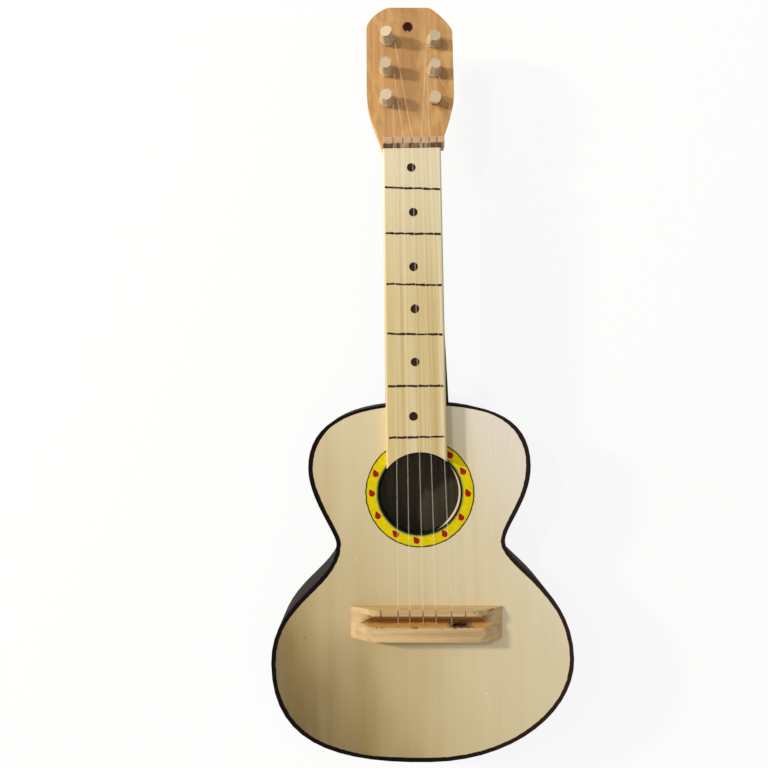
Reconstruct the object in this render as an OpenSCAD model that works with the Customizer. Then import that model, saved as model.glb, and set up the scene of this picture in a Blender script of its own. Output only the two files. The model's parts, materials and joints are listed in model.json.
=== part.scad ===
// Small hand-made guitar with five of its six strings left. The sixth has torn out of the bridge.
// It lies on its back: X runs across the body, Y from the tail to the head, Z up out of the soundboard.
// The origin is on the floor, under the middle of the whole guitar.

/* [Body] */
// Length of the body, from the tail to the neck
body_len = 286; // [238:1:344]
// Depth of the body, with its back and soundboard
body_depth = 50; // [41:1:62]
// Width over the upper bout
upper_w = 177; // [150:1:212]
// Width at the waist
waist_w = 134; // [112:1:148]
// Width over the lower bout
lower_w = 241; // [200:1:290]
// Place of the upper bout, as a share of the body from the tail
upper_at = 0.82; // [0.76:0.01:0.84]
// Place of the waist, as a share of the body from the tail
waist_at = 0.61; // [0.56:0.01:0.65]
// Place of the lower bout, as a share of the body from the tail
lower_at = 0.28; // [0.24:0.01:0.32]
// How far the tail's lowest point lies right of the centre line
tail_skew = 5; // [0:0.5:10]

/* [Boards] */
// Thickness of the soundboard
top_t = 3.5; // [2:0.1:5]
// Thickness of the back board
back_t = 3; // [2:0.1:5]
// Thickness of the two side boards
side_t = 3.5; // [2:0.1:5]
// Diameter of the sound hole at its top edge
hole_d = 65; // [54:0.5:76]
// How much narrower the sound hole is at its lower edge
hole_taper = 3; // [0:0.5:5]
// Distance of the sound hole's centre from the neck end of the body
hole_drop = 71.7; // [64:0.1:84]
// Width of each brace
brace_w = 7; // [5:0.5:10]
// Height of each brace
brace_h = 8; // [5:0.5:10]
// Length of the block that holds the neck
neck_block_len = 18; // [10:1:20]
// Width of the block that holds the neck
neck_block_w = 56; // [40:1:70]
// Length of the block at the tail
tail_block_len = 12; // [8:1:20]
// Width of the block at the tail
tail_block_w = 44; // [30:1:60]

/* [Neck] */
// Length of the neck, from the body to the nut
neck_len = 199.4; // [160:0.2:245]
// Width of the neck and fretboard at the nut
neck_w_nut = 45.6; // [40:0.2:50]
// Width of the neck and fretboard where they meet the body
neck_w_body = 47.8; // [42:0.2:54]
// Thickness of the neck below the fretboard
neck_t = 14; // [12:0.5:20]
// How far the neck stands out past the fretboard at the body, on the right
neck_flare = 2.4; // [0:0.1:4]
// Thickness of the fretboard
fret_t = 8; // [4:0.5:10]
// Sideways shift of the neck from the body's centre line
neck_x = -2.3; // [-4:0.1:4]
// Length of the heel along the neck
heel_len = 40; // [25:1:60]
// Height of the heel's foot above the floor
heel_foot = 7; // [3:0.5:15]

/* [Nut] */
// Length of the nut along the strings
nut_len = 8; // [6:0.5:12]
// Width of the nut
nut_w = 47.8; // [42:0.2:54]
// Sideways shift of the nut from the neck's centre line
nut_off = 1.5; // [-2:0.1:2]
// Height of the nut above the fretboard
nut_rise = 2.5; // [1.5:0.1:4]
// Length of the slope that runs down to the fretboard
nut_slope = 3; // [2:0.5:5]

/* [Head] */
// Length of the head, from the nut to its tip
head_len = 106.6; // [100:0.2:128]
// Width of the head
head_w = 69.4; // [62:0.2:84]
// Width of the straight edge at its tip
head_tip_w = 30; // [20:0.5:40]
// Thickness of the head
head_t = 12; // [9:0.5:14]
// Diameter of the hole that the guitar is hung by
hang_d = 7; // [4:0.5:9]
// Distance of that hole from the tip of the head
hang_inset = 15.6; // [12:0.1:18]
// How far that hole lies left of the neck's centre line
hang_off = 1.3; // [0:0.1:3]

/* [Pegs] */
// Diameter of the pegs
peg_d = 9.4; // [7.8:0.1:11.3]
// Clearance around a peg in its hole, on the radius
peg_fit = 0.05; // [0.01:0.01:0.1]
// How far the pegs reach out behind the head
peg_tail = 4; // [1:0.5:8]

/* [Bridge] */
// Length of the bridge across the body
bridge_len = 119.4; // [105:0.2:140]
// Width of the bridge along the strings
bridge_w = 25; // [22:0.5:30]
// Height of the bridge
bridge_h = 11; // [9:0.5:13]
// Distance of the bridge's centre from the tail
bridge_at = 112.2; // [100:0.2:130]
// Sideways shift of the bridge from the body's centre line
bridge_x = 3.3; // [-5:0.1:5]
// Turn of the bridge, which is glued on a little askew
bridge_turn = -1; // [-3:0.1:3]
// Width of the ridge on the neck side
ridge_w = 4.4; // [3:0.1:6]
// Width of the valley between the two ridges
valley_w = 9.5; // [8:0.1:12]
// Depth of the valley
valley_d = 6; // [4:0.1:8]
// Share of the valley's width that its gentle slope takes
valley_lean = 0.78; // [0.6:0.01:0.9]
// Length of the bevel at each end
bevel_len = 18; // [10:0.5:24]

/* [Strings] */
// Diameter of the nylon strings
string_d = 0.8; // [0.5:0.1:1.2]
// Width of the saw cuts that the strings lie in
cut_w = 1.2; // [0.9:0.1:1.6]
// Clearance between a string's bend and the peg it goes round
string_gap = 0.3; // [0.2:0.05:0.5]
// Number of turns wound round each peg
wound_turns = 2; // [1:1:3]

/* [Hidden] */

$fn = 64;
eps = 0.01;
far = 1000;

total_len = body_len + neck_len + nut_len + head_len;
tail_y = -total_len / 2;
body_top_y = tail_y + body_len;
nut_y = body_top_y + neck_len;
head_y = nut_y + nut_len;
tip_y = head_y + head_len;
hole_y = body_top_y - hole_drop;
under_top = body_depth - top_t;

// How full each stretch of the outline is, from the neck to the tail: the shares of its span that
// the handles at its two ends reach. The right side is cut a little rounder at the tail.
full_left = [[0.70, 0.65], [0.40, 0.15], [0.35, 0.55], [0.75, 0.65]];
full_right = [[0.70, 0.70], [0.45, 0.20], [0.20, 0.60], [0.50, 0.60]];
stretch_steps = 14;

ACROSS = [1, 0];
ALONG = [0, 1];

function times(a, b) = [a.x * b.x, a.y * b.y];
function unit(v) = v / norm(v);
function bezier(a, b, c, d, t) =
    pow(1 - t, 3) * a + 3 * pow(1 - t, 2) * t * b + 3 * (1 - t) * t * t * c + pow(t, 3) * d;

// Points of a curve from a to b that leaves along from_dir and arrives along to_dir, without b itself
function stretch(a, b, from_dir, to_dir, full, steps = stretch_steps) =
    [for (i = [0 : steps - 1])
        bezier(a, a + full[0] * times(b - a, from_dir), b - full[1] * times(b - a, to_dir), b, i / steps)];

// One side of the body, from the neck to the tail; side is -1 on the left and 1 on the right
function body_half(side, full) =
    let (top = [0, body_top_y],
         upper = [side * upper_w / 2, tail_y + upper_at * body_len],
         waist = [side * waist_w / 2, tail_y + waist_at * body_len],
         lower = [side * lower_w / 2, tail_y + lower_at * body_len],
         tail = [tail_skew, tail_y])
    concat(stretch(top, upper, ACROSS, ALONG, full[0]),
           stretch(upper, waist, ALONG, ALONG, full[1]),
           stretch(waist, lower, ALONG, ALONG, full[2]),
           stretch(lower, tail, ALONG, ACROSS, full[3]),
           [tail]);

function reversed(list) = [for (i = [len(list) - 1 : -1 : 0]) list[i]];
function slice(list, first, last) = [for (i = [first : last]) list[i]];

right_half = body_half(1, full_right);
left_half = body_half(-1, full_left);
half_n = len(right_half);
// The closed outline runs down the right side, round the tail and back up the left side
body_outline = concat(right_half, slice(reversed(left_half), 1, half_n - 2));

// The same closed outline moved inwards by d
function inset(outline, d) =
    let (n = len(outline))
    [for (i = [0 : n - 1])
        let (along = unit(outline[(i + 1) % n] - outline[(i + n - 1) % n]))
        outline[i] + d * [along.y, -along.x]];

inner_outline = inset(body_outline, side_t);

// One of the two bent side boards, as a strip between the two outlines
function strip(first, last) =
    concat([for (i = [first : last]) body_outline[i % len(body_outline)]],
           [for (i = [last : -1 : first]) inner_outline[i % len(inner_outline)]]);

// Pegs: place across from the neck's centre line, place along from the nut's head side, lean
// across, lean along (degrees) and height above the head. Each was whittled and fitted by eye.
PEGS = [[-17.5, 80.5, -8, 9, 11.5],
        [-18.5, 56, -5, 11, 11.5],
        [-19, 32, -4, 9, 10.5],
        [18.5, 78.5, 5, 1, 10.5],
        [18.5, 55, 4, 10, 11],
        [19, 33.5, -1, -14, 10]];
LEFT_TOP = 0;
LEFT_MID = 1;
LEFT_LOW = 2;
RIGHT_TOP = 3;
RIGHT_MID = 4;
RIGHT_LOW = 5;

peg_r = peg_d / 2;
function peg_base(p) = [neck_x + PEGS[p][0], head_y + PEGS[p][1], body_depth];
function peg_turn(p) = [-PEGS[p][3], PEGS[p][2], 0];
function peg_height(p) = PEGS[p][4];
function peg_axis(p) =
    let (a = PEGS[p][2], b = PEGS[p][3]) [cos(b) * sin(a), sin(b), cos(b) * cos(a)];
function peg_across(p) = let (a = PEGS[p][2]) [cos(a), 0, -sin(a)];
function peg_along(p) =
    let (a = PEGS[p][2], b = PEGS[p][3]) [-sin(b) * sin(a), cos(b), -sin(b) * cos(a)];
peg_lean_max = 14;

// Strings, from the left: place at the nut and at the bridge, and the peg that each one goes to
STRINGS = [[-16.5, -19, LEFT_LOW],
           [-9, -10, LEFT_MID],
           [-2, 0.5, LEFT_TOP],
           [5, 10.5, RIGHT_TOP],
           [11.5, 22.5, RIGHT_MID]];
// The lost sixth string's place at the nut and the bridge, and a seventh, unused cut in the bridge
LOST = [17.5, 33.5];
SPARE_CUT = -32.5;

string_r = string_d / 2;
cut_r = cut_w / 2;
cut_floor = 0.05;
cut_run = 3.5;
nut_top = body_depth + fret_t + nut_rise;
nut_string_z = nut_top - string_r;
bridge_y = tail_y + bridge_at;
bridge_top = body_depth + bridge_h;
bridge_string_z = bridge_top - string_d;
anchor_drop = 3;
anchor_reach = 1.8;
anchor_z = bridge_top - anchor_drop;
knot_z = body_depth + 2;
ridge_y = bridge_y + bridge_w / 2 - ridge_w / 2;
slope_y = bridge_y + bridge_w / 2 - ridge_w - valley_w;
knot_r = 1.2;
knot_y = bridge_y - bridge_w / 2 - knot_r - 0.6;

// Heights on a peg of the lowest wound turn, and of the string's own bend above the turns
turn_pitch = string_d;
turn_r = peg_r + 0.05 + string_r;
bend_r = peg_r + string_gap + string_r;
turns_low = (bend_r + string_r) * sin(peg_lean_max) + string_r + 0.3;
bend_height = turns_low + wound_turns * turn_pitch + string_gap;

function string_x(from, to, y) =
    let (nut_mid = nut_y + nut_len / 2) from + (to - from) * (nut_mid - y) / (nut_mid - ridge_y);
function bridge_point(s, y, z) = [string_x(STRINGS[s][0], STRINGS[s][1], y), y, z];
function peg_point(p, angle, radius, height) =
    peg_base(p) + height * peg_axis(p)
    + radius * (cos(angle) * peg_across(p) + sin(angle) * peg_along(p));

// The bend round a peg: it meets the peg on the side of the head's middle and goes round its far side
bend_steps = 8;
bend_span = 235;
function peg_bend(p) =
    let (left = PEGS[p][0] < 0)
    [for (i = [0 : bend_steps])
        let (swing = bend_span * i / bend_steps)
        peg_point(p, left ? swing : 180 - swing, bend_r, bend_height)];

// A whole string: its knot behind the bridge, the drilled hole, the valley, the cut in the ridge,
// the free length, the nut and the bend round its peg
function string_route(s) =
    concat([bridge_point(s, knot_y - knot_r, knot_z),
            bridge_point(s, knot_y - knot_r / 2, knot_z),
            bridge_point(s, knot_y + knot_r / 2, knot_z),
            bridge_point(s, knot_y + knot_r, knot_z),
            bridge_point(s, slope_y + anchor_reach, anchor_z),
            bridge_point(s, ridge_y - ridge_w / 2, bridge_string_z),
            bridge_point(s, ridge_y + ridge_w / 2, bridge_string_z),
            [STRINGS[s][0], nut_y + nut_slope, nut_string_z],
            [STRINGS[s][0], head_y - 0.5, nut_string_z]],
           peg_bend(STRINGS[s][2]));
KNOT = [0.5, knot_r, knot_r, 0.5];
function string_radii(n) = [for (i = [0 : n - 1]) i < len(KNOT) ? KNOT[i] : string_r];

// The loose end of the fifth string, beyond its bend: places from its peg's foot
LOOSE_END = [[3.6, -5.2, 3.4], [6.0, -8.8, 2.4], [8.8, -13.0, 1.6]];

tube_sides = 8;
function tangent(route, i) =
    unit(route[min(i + 1, len(route) - 1)] - route[max(i - 1, 0)]);
function tube_ring(centre, along, radius) =
    let (side = unit(cross(along, [0, 0, 1])), up = cross(side, along))
    [for (k = [0 : tube_sides - 1])
        let (a = 360 * k / tube_sides)
        centre + radius * (cos(a) * side + sin(a) * up)];

// A closed tube along a route that never runs straight up
module tube(route, radii) {
    n = len(route);
    last = (n - 1) * tube_sides;
    polyhedron(
        points = [for (i = [0 : n - 1]) each tube_ring(route[i], tangent(route, i), radii[i])],
        faces = concat(
            [[for (k = [0 : tube_sides - 1]) k]],
            [for (i = [0 : n - 2], k = [0 : tube_sides - 1])
                let (a = i * tube_sides, b = (k + 1) % tube_sides)
                [a + k, a + tube_sides + k, a + tube_sides + b, a + b]],
            [[for (k = [tube_sides - 1 : -1 : 0]) last + k]]));
}

// A round rod between two points
module rod(from, to, radius) {
    v = to - from;
    translate(from)
        rotate([0, acos(v.z / norm(v)), atan2(v.y, v.x)])
            cylinder(h = norm(v), r = radius, $fn = 24);
}

// A flat shape drawn in Y and Z, run across the guitar between two places in X
module across(from, to) {
    translate([from, 0, 0])
        rotate([90, 0, 90])
            linear_extrude(to - from)
                children();
}

// A flat shape drawn in X and Z, run along the guitar between two places in Y
module lengthwise(from, to) {
    translate([0, to, 0])
        rotate([90, 0, 0])
            linear_extrude(to - from)
                children();
}

module body_plate(z, thickness) {
    translate([0, 0, z])
        linear_extrude(thickness)
            polygon(body_outline);
}

module inside_body(z, height) {
    translate([0, 0, z])
        linear_extrude(height)
            polygon(inner_outline);
}

module soundboard() {
    color("#ddceab")
    difference() {
        body_plate(under_top, top_t);
        translate([0, hole_y, under_top - eps])
            cylinder(h = top_t + 2 * eps, r1 = (hole_d - hole_taper) / 2, r2 = hole_d / 2);
    }
}

module back_board() {
    color("#3b2b24")
    body_plate(0, back_t);
}

module side_board(first, last) {
    color("#231b19")
    translate([0, 0, back_t])
        linear_extrude(under_top - back_t)
            polygon(strip(first, last));
}

module side_right() {
    side_board(0, half_n - 1);
}

module side_left() {
    side_board(half_n - 1, 2 * (half_n - 1));
}

// A block glued inside the body, between the back and the soundboard
module end_block(middle, width, from_y, to_y) {
    color("#c8a878")
    intersection() {
        translate([middle - width / 2, from_y, back_t])
            cube([width, to_y - from_y, under_top - back_t]);
        inside_body(back_t, under_top - back_t);
    }
}

module neck_block() {
    end_block(neck_x, neck_block_w, body_top_y - side_t - neck_block_len, body_top_y);
}

module tail_block() {
    end_block(tail_skew, tail_block_w, tail_y, tail_y + side_t + tail_block_len);
}

// A bar glued across the body from one side board to the other
module brace(y, z) {
    color("#d2b384")
    intersection() {
        translate([-far / 2, y - brace_w / 2, z])
            cube([far, brace_w, brace_h]);
        inside_body(z, brace_h);
    }
}

brace_clear = 9;
back_brace_shift = 12;
module top_brace_upper() {
    brace(hole_y + hole_d / 2 + brace_clear, under_top - brace_h);
}

module top_brace_lower() {
    brace(hole_y - hole_d / 2 - brace_clear, under_top - brace_h);
}

module back_brace_upper() {
    brace(tail_y + upper_at * body_len + back_brace_shift, back_t);
}

module back_brace_lower() {
    brace(tail_y + lower_at * body_len, back_t);
}

// Plan of the neck and its head; the neck widens towards the body
neck_foot = 20;
// How far the neck and heel run into the body before they are cut to its outline
root_len = 5;
flare_len = 70;
flared_foot = [[neck_w_body / 2 + neck_flare * (1 + neck_foot / flare_len), body_top_y - neck_foot],
               [neck_w_body / 2 - (neck_w_body - neck_w_nut) / 2 * flare_len / neck_len,
                body_top_y + flare_len]];
hip_full = [0.25, 0.40];
shoulder_full = [[0.40, 0.35], [0.25, 0.20]];
hip_at = 38;
shoulder_len = [16.4, 20];
function head_side(side) =
    let (root = [side * neck_w_nut / 2, nut_y - 1],
         hip = [side * head_w / 2, head_y + hip_at],
         shoulder = [side * (head_w / 2 - 0.6), tip_y - shoulder_len[side < 0 ? 0 : 1]],
         tip = [side * head_tip_w / 2, tip_y - (side < 0 ? 0 : 0.6)])
    concat(side < 0 ? [[-neck_w_body / 2, body_top_y - neck_foot]] : flared_foot,
           stretch(root, hip, ALONG, ALONG, hip_full, 10),
           [hip],
           stretch(shoulder, tip, ALONG, ACROSS, shoulder_full[side < 0 ? 0 : 1], 7),
           [tip]);
neck_plan = concat(head_side(-1), reversed(head_side(1)));

// Half-round section of the neck, with short upright edges under the fretboard
neck_edge = 3;
neck_half = neck_w_body / 2 + neck_flare + 0.5;
neck_section = concat(
    [[neck_half, 0]],
    [for (a = [0 : 7.5 : 180])
        [cos(a) * neck_half, -neck_edge - (neck_t - neck_edge) * pow(sin(a), 0.8)]],
    [[-neck_half, 0]]);

// Side view of the heel, swept down from the neck to its foot against the body
heel_foot_len = 13;
heel_start = body_top_y + heel_len;
heel_view = concat(
    [[body_top_y - root_len, body_depth - neck_t / 2], [heel_start, body_depth - neck_t / 2]],
    stretch([heel_start, body_depth - neck_t], [body_top_y + heel_foot_len, heel_foot],
            ACROSS, ALONG, [0.75, 0.6], 10),
    [[body_top_y + heel_foot_len, heel_foot], [body_top_y - root_len, heel_foot]]);
heel_top_w = 43;
heel_foot_w = 27;

// Ramp on the underside from the thicker neck to the thinner head
ramp_len = 16;

module neck_blank() {
    translate([neck_x, 0, 0]) {
        // neck, from the body to the nut
        intersection() {
            translate([0, 0, body_depth - neck_t - 1])
                linear_extrude(neck_t + 1)
                    polygon(neck_plan);
            lengthwise(body_top_y - root_len, nut_y + ramp_len)
                translate([0, body_depth])
                    polygon(neck_section);
            across(-head_w, head_w)
                polygon([[body_top_y - root_len, body_depth], [body_top_y - root_len, body_depth - neck_t],
                         [nut_y, body_depth - neck_t], [nut_y + ramp_len, body_depth - head_t],
                         [nut_y + ramp_len, body_depth]]);
        }
        // head
        intersection() {
            translate([0, 0, body_depth - head_t])
                linear_extrude(head_t)
                    polygon(neck_plan);
            translate([-head_w, head_y - 2, body_depth - head_t])
                cube([2 * head_w, head_len + 2, head_t]);
        }
        // heel
        intersection() {
            across(-heel_top_w / 2, heel_top_w / 2)
                polygon(heel_view);
            lengthwise(body_top_y - root_len, heel_start)
                polygon([[-heel_top_w / 2, body_depth - neck_t / 2],
                         [-heel_top_w / 2, body_depth - neck_t],
                         [-heel_foot_w / 2, heel_foot], [heel_foot_w / 2, heel_foot],
                         [heel_top_w / 2, body_depth - neck_t],
                         [heel_top_w / 2, body_depth - neck_t / 2]]);
        }
    }
}

module neck() {
    color("#bf8d58")
    difference() {
        neck_blank();
        body_plate(-eps, body_depth + 2 * eps);
        for (p = [LEFT_TOP : RIGHT_LOW])
            translate(peg_base(p))
                rotate(peg_turn(p))
                    cylinder(h = 4 * head_t, r = peg_r + peg_fit, center = true);
        translate([neck_x - hang_off, tip_y - hang_inset, body_depth - head_t - 1])
            cylinder(h = head_t + 2, d = hang_d);
    }
}

module fretboard() {
    color("#e0cb97")
    translate([0, 0, body_depth])
        linear_extrude(fret_t)
            difference() {
                polygon([[neck_x - neck_w_nut / 2, nut_y], [neck_x + neck_w_nut / 2, nut_y],
                         [neck_x + neck_w_body / 2, hole_y + hole_d / 4],
                         [neck_x - neck_w_body / 2, hole_y + hole_d / 4]]);
                translate([0, hole_y])
                    circle(d = hole_d + 1);
            }
}

module nut() {
    color("#b5936e")
    difference() {
        across(neck_x + nut_off - nut_w / 2, neck_x + nut_off + nut_w / 2)
            polygon([[nut_y, body_depth], [nut_y, body_depth + fret_t + 0.3],
                     [nut_y + nut_slope, nut_top], [head_y, nut_top], [head_y, body_depth]]);
        for (x = concat([for (s = STRINGS) s[0]], [LOST[0]]))
            translate([x - cut_r, nut_y - 1, nut_string_z - cut_r])
                cube([cut_w, nut_len + 2, far]);
    }
}

// Section of the bridge: a narrow ridge, a valley with one gentle and one steep slope, a broad ridge
bridge_section = [[-bridge_w / 2, 0], [bridge_w / 2, 0], [bridge_w / 2, bridge_h],
                  [bridge_w / 2 - ridge_w, bridge_h],
                  [bridge_w / 2 - ridge_w - valley_lean * valley_w, bridge_h - valley_d],
                  [bridge_w / 2 - ridge_w - valley_w, bridge_h],
                  [-bridge_w / 2, bridge_h]];
bevel_foot = 1;

// The ragged pocket that the lost string's anchor left in the steep slope. Seen from the neck: places
// across the bridge from the lost string's cut, and heights on the bridge
TORN_POCKET = [[-13.0, 6.4], [-10.2, 9.4], [-6.9, 8.9], [-4.4, 10.2], [-0.8, 9.5], [2.0, 8.3],
               [4.2, 6.0], [1.2, 4.9], [-3.4, 4.5], [-8.6, 4.7]];
// The same pocket seen from above: places across the bridge, and along it from the slope's top edge
TORN_PLAN = [[-13.0, 0.8], [-11.2, 1.5], [-9.6, 1.4], [-8.0, 2.4], [-6.1, 2.2], [-4.6, 3.2], [-2.4, 2.7],
             [-0.8, 3.1], [0.6, 2.1], [2.2, 2.0], [4.2, 0.8], [2.5, -2.5], [-2, -4.5], [-7, -4], [-11, -2]];
// The splinter that is missing from the narrow ridge, near its right-hand end
CHIP = [[46.8, -0.6], [50.4, 0.4], [54.2, 1.5], [53.6, 2.6], [49.6, 1.3]];
chip_depth = 7;
// A nail hole in the narrow ridge: its place across the bridge and its share of the ridge's width
nail_hole = 37;
nail_back = 0.4;
nail_d = 1.2;
nail_depth = 3;

module bridge_blank() {
    difference() {
        across(-bridge_len / 2, bridge_len / 2)
            polygon(bridge_section);
        for (side = [-1, 1])
            lengthwise(-bridge_w, bridge_w)
                polygon([[side * bridge_len / 2, bevel_foot],
                         [side * (bridge_len / 2 - bevel_len), bridge_h],
                         [side * (bridge_len / 2 - bevel_len), bridge_h + 1],
                         [side * (bridge_len / 2 + 1), bridge_h + 1],
                         [side * (bridge_len / 2 + 1), bevel_foot]]);
        translate([LOST[1] - bridge_x, slope_y - bridge_y, 0])
            intersection() {
                lengthwise(-bridge_w, bridge_w)
                    polygon(TORN_POCKET);
                linear_extrude(bridge_h)
                    polygon(TORN_PLAN);
            }
        translate([0, bridge_w / 2 - ridge_w / 2, bridge_h - chip_depth])
            linear_extrude(chip_depth + 1)
                polygon(CHIP);
        translate([nail_hole, bridge_w / 2 - nail_back * ridge_w, bridge_h - nail_depth])
            cylinder(h = nail_depth + 1, d = nail_d);
    }
}

module bridge() {
    color("#cfa870")
    difference() {
        translate([bridge_x, bridge_y, body_depth])
            rotate([0, 0, bridge_turn])
                bridge_blank();
        // saw cuts over the narrow ridge, sawn deeper where they run out into the valley
        for (x = concat([for (s = STRINGS) s[1]], [LOST[1], SPARE_CUT])) {
            translate([x - cut_r, ridge_y - ridge_w, bridge_string_z - string_r - cut_floor])
                cube([cut_w, 2 * ridge_w, far]);
            translate([x - cut_r, ridge_y - ridge_w / 2 - cut_run, bridge_string_z - cut_w])
                cube([cut_w, cut_run, far]);
        }
        // holes through the broad ridge
        for (s = [0 : len(STRINGS) - 1])
            rod(bridge_point(s, knot_y + knot_r, knot_z),
                bridge_point(s, slope_y + anchor_reach, anchor_z), cut_r);
        rod([LOST[1], knot_y + knot_r, knot_z], [LOST[1], slope_y, anchor_z], cut_r);
    }
}

// A whittled peg: a round shank that turns in the head, and a grip cut to nine flat sides
grip_start = bend_height + string_r + 0.5;
grip_r = peg_r + 0.2;
peg_chamfer = 1;
module peg(p) {
    color("#d3bd92")
    translate(peg_base(p))
        rotate(peg_turn(p)) {
            translate([0, 0, peg_chamfer - head_t - peg_tail])
                cylinder(h = head_t + peg_tail - peg_chamfer + grip_start, r = peg_r);
            translate([0, 0, -head_t - peg_tail])
                cylinder(h = peg_chamfer, r1 = peg_r - peg_chamfer, r2 = peg_r);
            translate([0, 0, grip_start - eps])
                cylinder(h = peg_height(p) - grip_start + eps, r = grip_r, $fn = 9);
        }
}

module string(s) {
    loose = s == 4 ? [for (p = LOOSE_END) peg_base(STRINGS[s][2]) + p] : [];
    route = concat(string_route(s), loose);
    color("#dfe3df")
    tube(route, string_radii(len(route)));
}

// The turns of a string that are wound on its peg and turn with it
module turns(s) {
    p = STRINGS[s][2];
    color("#dfe3df")
    translate(peg_base(p))
        rotate(peg_turn(p))
            rotate_extrude()
                for (i = [0 : wound_turns - 1])
                    translate([turn_r, turns_low + i * turn_pitch])
                        circle(r = string_r + 0.03, $fn = 24);
}

soundboard();
back_board();
side_left();
side_right();
neck_block();
tail_block();
top_brace_upper();
top_brace_lower();
back_brace_upper();
back_brace_lower();
neck();
fretboard();
nut();
bridge();
peg(LEFT_TOP);  // peg_left_top
peg(LEFT_MID);  // peg_left_mid
peg(LEFT_LOW);  // peg_left_low
peg(RIGHT_TOP);  // peg_right_top
peg(RIGHT_MID);  // peg_right_mid
peg(RIGHT_LOW);  // peg_right_low
string(0);  // string_1
string(1);  // string_2
string(2);  // string_3
string(3);  // string_4
string(4);  // string_5
turns(0);  // turns_1
turns(1);  // turns_2
turns(2);  // turns_3
turns(3);  // turns_4
turns(4);  // turns_5
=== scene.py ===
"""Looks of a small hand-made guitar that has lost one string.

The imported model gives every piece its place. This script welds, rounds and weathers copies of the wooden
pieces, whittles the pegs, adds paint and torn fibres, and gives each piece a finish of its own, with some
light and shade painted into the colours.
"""

import json
import math
import random

import bmesh
import bpy
from mathutils import Matrix, Vector


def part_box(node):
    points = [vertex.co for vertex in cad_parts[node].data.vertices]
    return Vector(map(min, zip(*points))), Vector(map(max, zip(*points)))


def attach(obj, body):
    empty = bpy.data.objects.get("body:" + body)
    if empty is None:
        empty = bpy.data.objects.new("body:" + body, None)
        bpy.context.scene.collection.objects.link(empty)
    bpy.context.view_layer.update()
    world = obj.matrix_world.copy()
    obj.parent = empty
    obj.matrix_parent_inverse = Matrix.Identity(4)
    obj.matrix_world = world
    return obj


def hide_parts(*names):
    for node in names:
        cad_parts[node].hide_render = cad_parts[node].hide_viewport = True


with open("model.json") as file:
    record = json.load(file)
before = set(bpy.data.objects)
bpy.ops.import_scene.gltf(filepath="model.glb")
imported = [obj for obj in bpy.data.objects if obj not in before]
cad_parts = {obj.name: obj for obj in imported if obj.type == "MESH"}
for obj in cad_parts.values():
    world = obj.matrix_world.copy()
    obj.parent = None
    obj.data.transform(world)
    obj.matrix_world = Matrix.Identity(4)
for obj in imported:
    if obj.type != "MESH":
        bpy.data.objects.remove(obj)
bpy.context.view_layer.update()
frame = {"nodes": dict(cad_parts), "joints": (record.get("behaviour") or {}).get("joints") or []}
bpy.ops.object.select_all(action="DESELECT")

MM = 0.001
TO_MM = 1 / MM
# A hair: places that differ by less than this count as one
HAIR = 0.01 * MM

# Places that everything else is measured from, in metres
BODY_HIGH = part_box("soundboard")[1]
BOARD_TOP = BODY_HIGH.z
FRET_LOW, FRET_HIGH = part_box("fretboard")
NUT_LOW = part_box("nut")[0]
BRIDGE_LOW, BRIDGE_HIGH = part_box("bridge")
NECK_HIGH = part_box("neck")[1]
NECK_X = (FRET_LOW.x + FRET_HIGH.x) / 2
# Middle and radius of the sound hole
HOLE_Y = BODY_HIGH.y - 71.7 * MM
HOLE_R = 32.5 * MM

# The same in millimetres, for patterns that are drawn on the wood
TOP_Z = BOARD_TOP * TO_MM
FRET_Z = FRET_HIGH.z * TO_MM
NUT_Y = NUT_LOW.y * TO_MM
HOLE_PLACE = (0, HOLE_Y * TO_MM, 0)
BRIDGE_Z = BRIDGE_HIGH.z * TO_MM
BRIDGE_X = (BRIDGE_LOW.x + BRIDGE_HIGH.x) / 2 * TO_MM
BRIDGE_Y = (BRIDGE_LOW.y + BRIDGE_HIGH.y) / 2 * TO_MM
# The top edge of the bridge's steep slope, and the slant of the bridge, which is glued on askew
SLOPE_Y = BRIDGE_Y - 1.4
BRIDGE_SLANT = math.tan(math.radians(1))
# The hole in the head that the guitar is hung by
HANG_PLACE = (NECK_X * TO_MM - 1.3, NECK_HIGH.y * TO_MM - 15.6, 0)
# Where the lost string was tied, as a distance right of the bridge's middle
LOST_X = 30
# Height of the valley's floor over the soundboard, less a hair
VALLEY_FLOOR = 4.95


# ---------------------------------------------------------------- small tools

def srgb(code):
    """An sRGB hex colour as the linear colour that a socket takes."""
    channels = [int(code[i:i + 2], 16) / 255 for i in (1, 3, 5)]
    return [c / 12.92 if c <= 0.04045 else ((c + 0.055) / 1.055) ** 2.4 for c in channels] + [1]


def grains(*sizes):
    """The scale of a pattern whose grains have these sizes in millimetres along X, Y and Z."""
    return [1 / size for size in sizes]


def add(tree, kind, inputs=None, out=0, stops=(), **settings):
    """Adds a node, sets it up and links it, and returns one of its outputs.

    An input is a value, an sRGB hex colour, or the output that it is linked to. Stops are a colour
    ramp's positions and colours.
    """
    node = tree.nodes.new("ShaderNode" + kind)
    for name, value in settings.items():
        setattr(node, name, value)
    for socket, value in (inputs or {}).items():
        if isinstance(value, bpy.types.NodeSocket):
            tree.links.new(value, node.inputs[socket])
        else:
            node.inputs[socket].default_value = srgb(value) if isinstance(value, str) else value
    for number, (position, code) in enumerate(stops):
        if number >= len(node.color_ramp.elements):
            node.color_ramp.elements.new(position)
        node.color_ramp.elements[number].position = position
        node.color_ramp.elements[number].color = srgb(code)
    return node.outputs[out] if len(node.outputs) else node


def new_material(name):
    """An empty material, its node tree, and a point's place in millimetres: whole, and as X, Y and Z."""
    material = bpy.data.materials.new(name)
    material.use_nodes = True
    tree = material.node_tree
    tree.nodes.clear()
    metres = add(tree, "TexCoord", out="Object")
    place = add(tree, "VectorMath", {0: metres, "Scale": TO_MM}, operation="SCALE")
    axes = add(tree, "SeparateXYZ", {0: place}).node.outputs
    return material, tree, place, axes


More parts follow.
